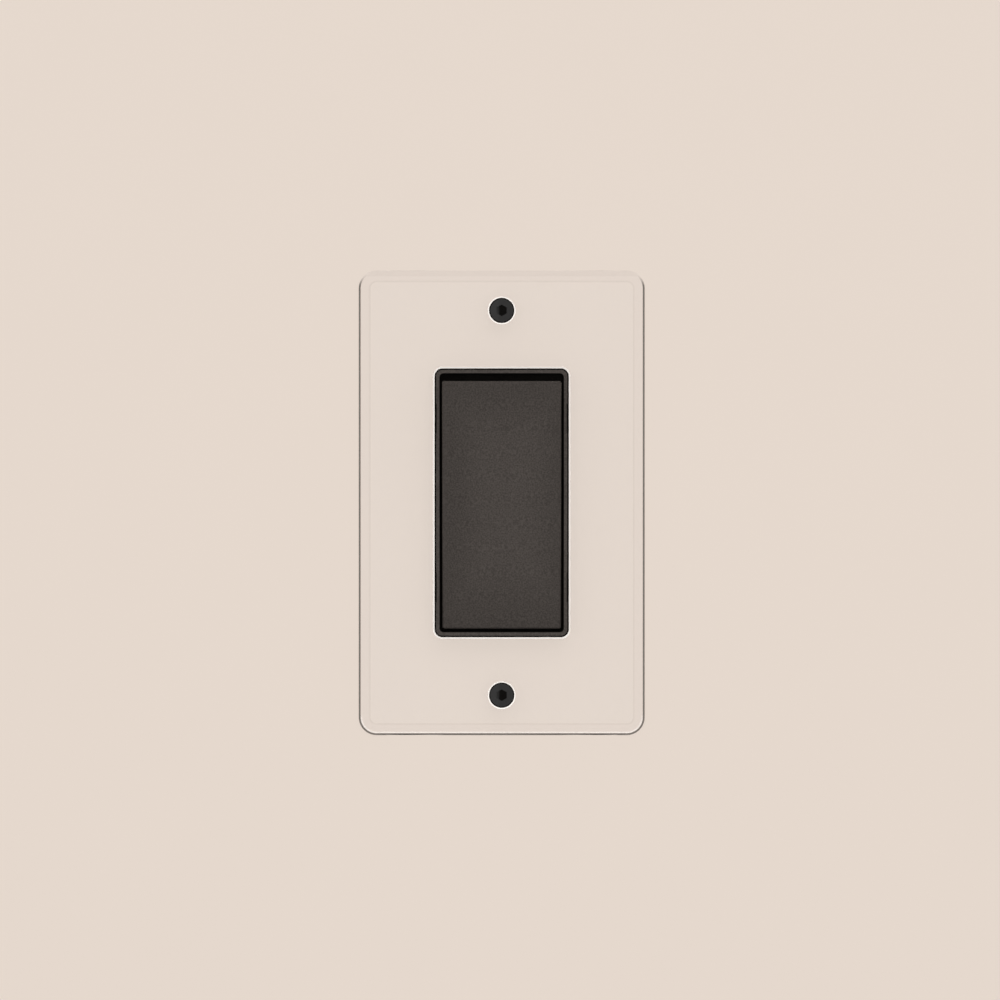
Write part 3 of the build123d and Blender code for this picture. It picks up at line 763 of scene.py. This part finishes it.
def cross_cutter(half_len, half_width, depth, top):
    """The tapered four-winged hollow of a cross-head recess."""
    bm = bmesh.new()
    wing = ((half_len, -half_width), (half_len, half_width), (half_width, half_width))
    corners = []
    for quarter in range(4):
        turn = math.pi / 2 * quarter
        for along, across in wing:
            x = along * math.cos(turn) - across * math.sin(turn)
            y = along * math.sin(turn) + across * math.cos(turn)
            corners.append((x, y))
    mouth = [bm.verts.new((x, y, top)) for x, y in corners]
    floor = [bm.verts.new((CROSS_TAPER * x, CROSS_TAPER * y, top - depth)) for x, y in corners]
    bm.faces.new(mouth)
    bm.faces.new(floor)
    join_loops(bm, mouth, floor)
    return mesh_of(bm, "cross_cutter")


def seat_mesh(mesh, origin, direction):
    """Lays the mesh's +Z along the direction, with its own origin at the given point."""
    turn = Vector((0, 0, 1)).rotation_difference(Vector(direction)).to_matrix().to_4x4()
    mesh.transform(Matrix.Translation(Vector(origin)) @ turn)


def finish_piece(name, mesh, slot, body, nodes):
    """Shades the mesh, gives it its slot's material, and puts it in place of its nodes."""
    shade(mesh)
    obj = new_object(name, mesh)
    mesh.materials.clear()
    mesh.materials.append(SLOT_MATERIALS[slot])
    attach(obj, body)
    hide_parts(*nodes)
    return obj


# Plate screws: a flat countersunk head with a hexagon socket
PLATE_HEAD_R = 3.175 * MM
PLATE_RIM = 0.25 * MM
PLATE_RIM_ROUND = 0.22 * MM
SCREW_MAJOR_R = 1.74 * MM
SCREW_MINOR_R = 1.36 * MM
SCREW_PITCH = 0.794 * MM
SCREW_POINT = 0.7 * MM
SOCKET_ACROSS = 2.44 * MM
SOCKET_DEPTH = 1.5 * MM
SOCKET_BREAK = 0.1 * MM
DRILL_SHARE = 0.96
DRILL_POINT_SHARE = 0.5
CONE_HALF_ANGLE = 41.0


def plate_screw_mesh(length):
    bm = bmesh.new()
    cone = (PLATE_HEAD_R - SCREW_MINOR_R) / math.tan(math.radians(CONE_HALF_ANGLE))
    thread_start = -PLATE_RIM - cone
    socket = hexagon(SOCKET_ACROSS)
    mouth = hexagon(SOCKET_ACROSS + 2 * SOCKET_BREAK)
    drill_r = SOCKET_ACROSS / 2
    shank = [add_ring(bm, circle(SCREW_MINOR_R), thread_start)]
    shank.append(add_ring(bm, circle(PLATE_HEAD_R), -PLATE_RIM))
    for radius, height in rounded_edge(PLATE_HEAD_R, 0, PLATE_RIM_ROUND):
        shank.append(add_ring(bm, circle(radius), height))
    shank.append(add_ring(bm, mouth, 0))
    shank.append(add_ring(bm, socket, -SOCKET_BREAK))
    shank.append(add_ring(bm, socket, -SOCKET_DEPTH))
    shank.append(add_ring(bm, circle(DRILL_SHARE * drill_r), -SOCKET_DEPTH))
    join_rings(bm, shank)
    fan(bm, shank[-1], -SOCKET_DEPTH - DRILL_POINT_SHARE * drill_r)
    thread_len = length + thread_start
    add_thread(
        bm, thread_start, thread_len, SCREW_MAJOR_R, SCREW_MINOR_R, SCREW_PITCH, SCREW_POINT
    )
    return mesh_of(bm, "plate_screw")


for end in ("upper", "lower"):
    node = f"plate_screw_{end}"
    low, high = box_corners(node)
    centre = (low + high) / 2
    mesh = plate_screw_mesh(high.y - low.y)
    seat_mesh(mesh, (centre.x, low.y, centre.z), (0, -1, 0))
    finish_piece(f"hex_plate_screw_{end}", mesh, "black_steel", "base", [node])


# Pan-head screws of the housing, the terminals, the earth tab and the wall box
SLOT_HALF_WIDTH = 0.5 * MM
SLOT_DEPTH = 0.9 * MM
SLOT_BREAK = 0.06 * MM
SLOT_REACH_SHARE = 1.2
CROSS_DEPTH = 1.1 * MM
CROSS_REACH_SHARE = 0.62
CROSS_WIDTH_SHARE = 0.8
CROSS_RISE = 0.02 * MM
HEAD_ROUND = 0.5 * MM
HEAD_DROP_SHARE = 0.12
HEAD_FLAT_SHARE = 0.45


def pan_screw_mesh(head_r, head_h, major, minor, pitch, length, plain):
    """A pan head with a slot and a cross recess, a plain stretch below it, and its thread. The
    head stands on the height zero."""
    bm = bmesh.new()
    rings = [add_ring(bm, circle(minor), -plain)]
    rings.append(add_ring(bm, circle(minor), 0))
    rings.append(add_ring(bm, circle(head_r - SLOT_BREAK), 0))
    rings.append(add_ring(bm, circle(head_r), SLOT_BREAK))
    edge_top = head_h - HEAD_DROP_SHARE * HEAD_ROUND
    for radius, height in rounded_edge(head_r, edge_top, HEAD_ROUND, steps=6):
        rings.append(add_ring(bm, circle(radius), height))
    rings.append(add_ring(bm, circle(HEAD_FLAT_SHARE * head_r), head_h))
    join_rings(bm, rings)
    fan(bm, rings[-1], head_h)
    add_thread(bm, -plain, length - plain, major, minor, pitch, SCREW_POINT)
    mesh = mesh_of(bm, "pan_screw")
    slot_reach = SLOT_REACH_SHARE * head_r
    slot = slot_cutter(slot_reach, SLOT_HALF_WIDTH, SLOT_DEPTH, head_h, SLOT_BREAK)
    mesh = cut(mesh, slot, "pan_screw")
    cross_reach = CROSS_REACH_SHARE * head_r
    cross_width = CROSS_WIDTH_SHARE * SLOT_HALF_WIDTH
    cross = cross_cutter(cross_reach, cross_width, CROSS_DEPTH, head_h + CROSS_RISE)
    return cut(mesh, cross, "pan_screw")


def place_pan_screw(node, pattern, slot, seat, direction):
    mesh = pattern.copy()
    seat_mesh(mesh, seat, direction)
    finish_piece(f"threaded_{node}", mesh, slot, "base", [node])


# Each row is a kind of screw, in mm: head radius and height, the thread's two radii and pitch,
# the length under the head, and how much of that is plain
SCREW_KINDS = {
    "body": (2.4, 1.4, 1.5, 1.12, 1.2, 14.0, 3.2),
    "wire": (3.7, 2.2, 1.74, 1.36, 0.794, 6.0, 0.3),
    "box": (3.45, 2.2, 1.74, 1.36, 0.794, 25.4, 1.7),
}
screw_patterns = {
    kind: pan_screw_mesh(*[value * MM for value in row]) for kind, row in SCREW_KINDS.items()
}
BACKWARD_SCREWS = {
    "body_screw_upper_left": "body",
    "body_screw_upper_right": "body",
    "body_screw_lower_left": "body",
    "body_screw_lower_right": "body",
    "box_screw_upper": "box",
    "box_screw_lower": "box",
}
for node, kind in BACKWARD_SCREWS.items():
    low, high = box_corners(node)
    seat_y = low.y + SCREW_KINDS[kind][1] * MM
    seat = ((low.x + high.x) / 2, seat_y, (low.z + high.z) / 2)
    place_pan_screw(node, screw_patterns[kind], "zinc_steel", seat, (0, -1, 0))
SIDE_SCREWS = {
    "terminal_screw_left": (-1, "zinc_steel"),
    "terminal_screw_right": (1, "zinc_steel"),
    "ground_screw": (-1, "green_steel"),
}
for node, (way, slot) in SIDE_SCREWS.items():
    low, high = box_corners(node)
    centre = (low + high) / 2
    outer = high.x if way > 0 else low.x
    seat = (outer - way * SCREW_KINDS["wire"][1] * MM, centre.y, centre.z)
    place_pan_screw(node, screw_patterns["wire"], slot, seat, (way, 0, 0))


# Return spring: a wire coil with closed, flattened end turns
WIRE_R = 0.35 * MM
COIL_R = 2.65 * MM
SPRING_TURNS = 7.5
CLOSED_TURNS = 1.0
COIL_STEPS = 44
WIRE_STEPS = 12
GROUND_SHARE = 0.25


def coil_height(turn, length):
    """The height of the wire's centre after so many turns: slow in the end turns, and at one
    pitch between them."""
    open_turns = SPRING_TURNS - 2 * CLOSED_TURNS
    closed_rise = 2 * WIRE_R * CLOSED_TURNS
    pitch = (length - 2 * WIRE_R - 2 * closed_rise) / open_turns
    if turn < CLOSED_TURNS:
        return WIRE_R + 2 * WIRE_R * turn
    if turn > SPRING_TURNS - CLOSED_TURNS:
        return length - WIRE_R - 2 * WIRE_R * (SPRING_TURNS - turn)
    return WIRE_R + closed_rise + pitch * (turn - CLOSED_TURNS)


def spring_mesh(length):
    bm = bmesh.new()
    rings = []
    ground = GROUND_SHARE * WIRE_R
    total = int(SPRING_TURNS * COIL_STEPS)
    for step in range(total + 1):
        turn = step / COIL_STEPS
        angle = math.tau * turn
        height = coil_height(turn, length)
        ring = []
        for part in range(WIRE_STEPS):
            around = math.tau * part / WIRE_STEPS
            radius = COIL_R + WIRE_R * math.cos(around)
            level = height + WIRE_R * math.sin(around)
            level = min(max(level, ground), length - ground)
            ring.append(bm.verts.new((radius * math.cos(angle), radius * math.sin(angle), level)))
        rings.append(ring)
    join_rings(bm, rings)
    bm.faces.new(rings[0])
    bm.faces.new(rings[-1])
    return mesh_of(bm, "spring")


low, high = box_corners("return_spring")
bridge_low, bridge_high = box_corners("contact_bridge")
spring_foot = Vector((0, high.y, (bridge_low.z + bridge_high.z) / 2))
spring_len = high.y - bridge_high.y
mesh = spring_mesh(spring_len)
seat_mesh(mesh, spring_foot, (0, -1, 0))
spring = finish_piece("coil_spring", mesh, "spring_steel", "base", ["return_spring"])
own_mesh(spring)


# Contact rivets: silver buttons with a shallow dome
DOME = 0.18 * MM
DOME_RINGS = (0.75, 0.5, 0.25)
CONTACT_ROUND = 0.22 * MM
CONTACT_BREAK = 0.05 * MM


def button_mesh(radius, thickness):
    """A contact button on the height zero, with a shallow dome."""
    bm = bmesh.new()
    rings = [add_ring(bm, circle(radius / 2), 0)]
    rings.append(add_ring(bm, circle(radius - CONTACT_BREAK), 0))
    rings.append(add_ring(bm, circle(radius), CONTACT_BREAK))
    edge = thickness - DOME
    for reach, height in rounded_edge(radius, edge, CONTACT_ROUND, steps=4):
        rings.append(add_ring(bm, circle(reach), height))
    flat = radius - CONTACT_ROUND
    for share in DOME_RINGS:
        rings.append(add_ring(bm, circle(flat * share), edge + DOME * (1 - share * share)))
    join_rings(bm, rings)
    fan(bm, rings[-1], thickness)
    fan(bm, rings[0], 0)
    return mesh_of(bm, "contact")


MOVING_CONTACTS = ["moving_contact_left", "moving_contact_right"]
FIXED_CONTACTS = ["fixed_contact_left", "fixed_contact_right"]
for node in MOVING_CONTACTS + FIXED_CONTACTS:
    low, high = box_corners(node)
    centre = (low + high) / 2
    moving = node in MOVING_CONTACTS
    mesh = button_mesh((high.x - low.x) / 2, high.y - low.y)
    seat_y = low.y if moving else high.y
    seat_mesh(mesh, (centre.x, seat_y, centre.z), (0, 1 if moving else -1, 0))
    body = "slider_body" if moving else "base"
    finish_piece(f"domed_{node}", mesh, "silver", body, [node])


# Camera: straight on, with a long lens, at the scale of the photograph
metres_per_pixel = MM / PIXELS_PER_MM
view_width = PHOTO_WIDTH * metres_per_pixel
aim_x = -(PLATE_CENTRE_PX[0] - PHOTO_WIDTH / 2) * metres_per_pixel
aim_z = (PLATE_CENTRE_PX[1] - PHOTO_WIDTH / 2) * metres_per_pixel
camera_data = bpy.data.cameras.new("camera")
camera_data.sensor_width = SENSOR_WIDTH
camera_data.lens = SENSOR_WIDTH * CAMERA_DISTANCE / view_width
camera = new_object("camera", camera_data)
camera.location = (aim_x, plate_low.y - CAMERA_DISTANCE, aim_z)
camera.rotation_euler = (math.radians(90), 0, 0)
bpy.context.scene.camera = camera


# Wall: a flat sheet just behind the plate, cut out round the frame and the plate screws
def filled_outline(name, outlines, y):
    """A flat sheet in the wall's plane, filled between its outer outline and its holes."""
    curve = bpy.data.curves.new(name, "CURVE")
    curve.dimensions = "2D"
    curve.fill_mode = "BOTH"
    for points in outlines:
        spline = curve.splines.new("POLY")
        spline.points.add(len(points) - 1)
        for point, (x, z) in zip(spline.points, points):
            point.co = (x, z, 0, 1)
        spline.use_cyclic_u = True
    flat = bpy.data.objects.new(name, curve)
    mesh = bpy.data.meshes.new_from_object(flat)
    bpy.data.curves.remove(curve)
    mesh.transform(Matrix.Translation((0, y, 0)) @ Matrix.Rotation(math.radians(90), 4, "X"))
    return new_object(name, mesh)


def round_hole(x, z, radius, steps=48):
    turns = [math.tau * step / steps for step in range(steps)]
    return [(x + radius * math.cos(a), z + radius * math.sin(a)) for a in turns]


def rounded_rectangle(half_w, half_h, radius, steps=8):
    points = []
    for quarter, (sx, sz) in enumerate(((1, 1), (-1, 1), (-1, -1), (1, -1))):
        for step in range(steps + 1):
            turn = math.pi / 2 * (quarter + step / steps)
            x = sx * (half_w - radius) + radius * math.cos(turn)
            z = sz * (half_h - radius) + radius * math.sin(turn)
            points.append((x, z))
    return points


bezel_high = box_corners("bezel")[1]
opening_half_w = bezel_high.x + WALL_OPENING_PLAY
opening_half_h = bezel_high.z + WALL_OPENING_PLAY
wall_corners = ((-1, -1), (1, -1), (1, 1), (-1, 1))
wall_outlines = [
    [(WALL_HALF * x, WALL_HALF * z) for x, z in wall_corners],
    rounded_rectangle(opening_half_w, opening_half_h, WALL_OPENING_CORNER_R),
]
for end in ("upper", "lower"):
    wall_outlines.append(round_hole(0, box_centre(f"plate_screw_{end}").z, WALL_HOLE_RADIUS))
wall = filled_outline("wall", wall_outlines, plate_high.y + WALL_SETBACK)
wall.data.materials.append(wall_material("wall_paint"))


# Lamps and world
SKY_LOW = (0.52, 0.515, 0.51)
SKY_HIGH = (1.0, 0.995, 0.985)
SKY_STRENGTH = 0.62
# Each lamp: where it stands and what it aims at, its width and height in metres, and its power
# in watts
LAMPS = {
    "key": ((0.7, -2.4, 2.8), (0, 0, 0), 2.4, 1.6, 12.0),
    "front": ((0, -2.4, 0.1), (0, 0, 0), 0.6, 0.6, 30.0),
    "rear_left": ((-0.9, 1.1, 0.5), (0, 0.01, 0), 1.1, 1.1, 9.0),
    "rear_right": ((0.8, 0.9, 0.7), (0, 0.01, 0), 1.1, 1.1, 9.0),
}


def area_lamp(name, place, aim, width, height, power):
    data = bpy.data.lights.new(name, "AREA")
    data.shape = "RECTANGLE"
    data.size = width
    data.size_y = height
    data.energy = power
    lamp = new_object(name, data)
    lamp.location = place
    lamp.rotation_euler = (Vector(aim) - Vector(place)).to_track_quat("-Z", "Y").to_euler()
    return lamp


lamps = {name: area_lamp(name, *row) for name, row in LAMPS.items()}
# The front lamp is neither mirrored in the object nor seen through the plate
lamps["front"].visible_glossy = False
lamps["front"].visible_transmission = False


def studio_world(name):
    """Light from all round, more from above than from below. What looks past the object, also
    through it or mirrored in it, sees the wall's colour."""
    world = bpy.data.worlds.new(name)
    world.use_nodes = True
    tree = world.node_tree
    ambient = tree.nodes["Background"]
    ambient.inputs["Strength"].default_value = SKY_STRENGTH
    height = tree.nodes.new("ShaderNodeMapRange")
    height.inputs["From Min"].default_value = -1.0
    height.inputs["From Max"].default_value = 1.0
    tree.links.new(object_axis(tree, "Generated", "Z"), height.inputs["Value"])
    sky = two_colors(tree, height.outputs["Result"], SKY_LOW, SKY_HIGH)
    tree.links.new(sky, ambient.inputs["Color"])
    seen = tree.nodes.new("ShaderNodeBackground")
    seen.inputs["Color"].default_value = (*WALL_COLOR, 1.0)
    seen.inputs["Strength"].default_value = 1.0
    light = tree.nodes.new("ShaderNodeLightPath")
    looked_at = greater(tree, light.outputs["Is Camera Ray"], light.outputs["Is Glossy Ray"])
    looked_at = greater(tree, looked_at, light.outputs["Is Transmission Ray"])
    mixed = mix_shaders(
        tree, looked_at, ambient.outputs["Background"], seen.outputs["Background"]
    )
    tree.links.new(mixed, tree.nodes["World Output"].inputs["Surface"])
    return world


bpy.context.scene.world = studio_world("studio")
bpy.context.scene.view_settings.view_transform = "Standard"
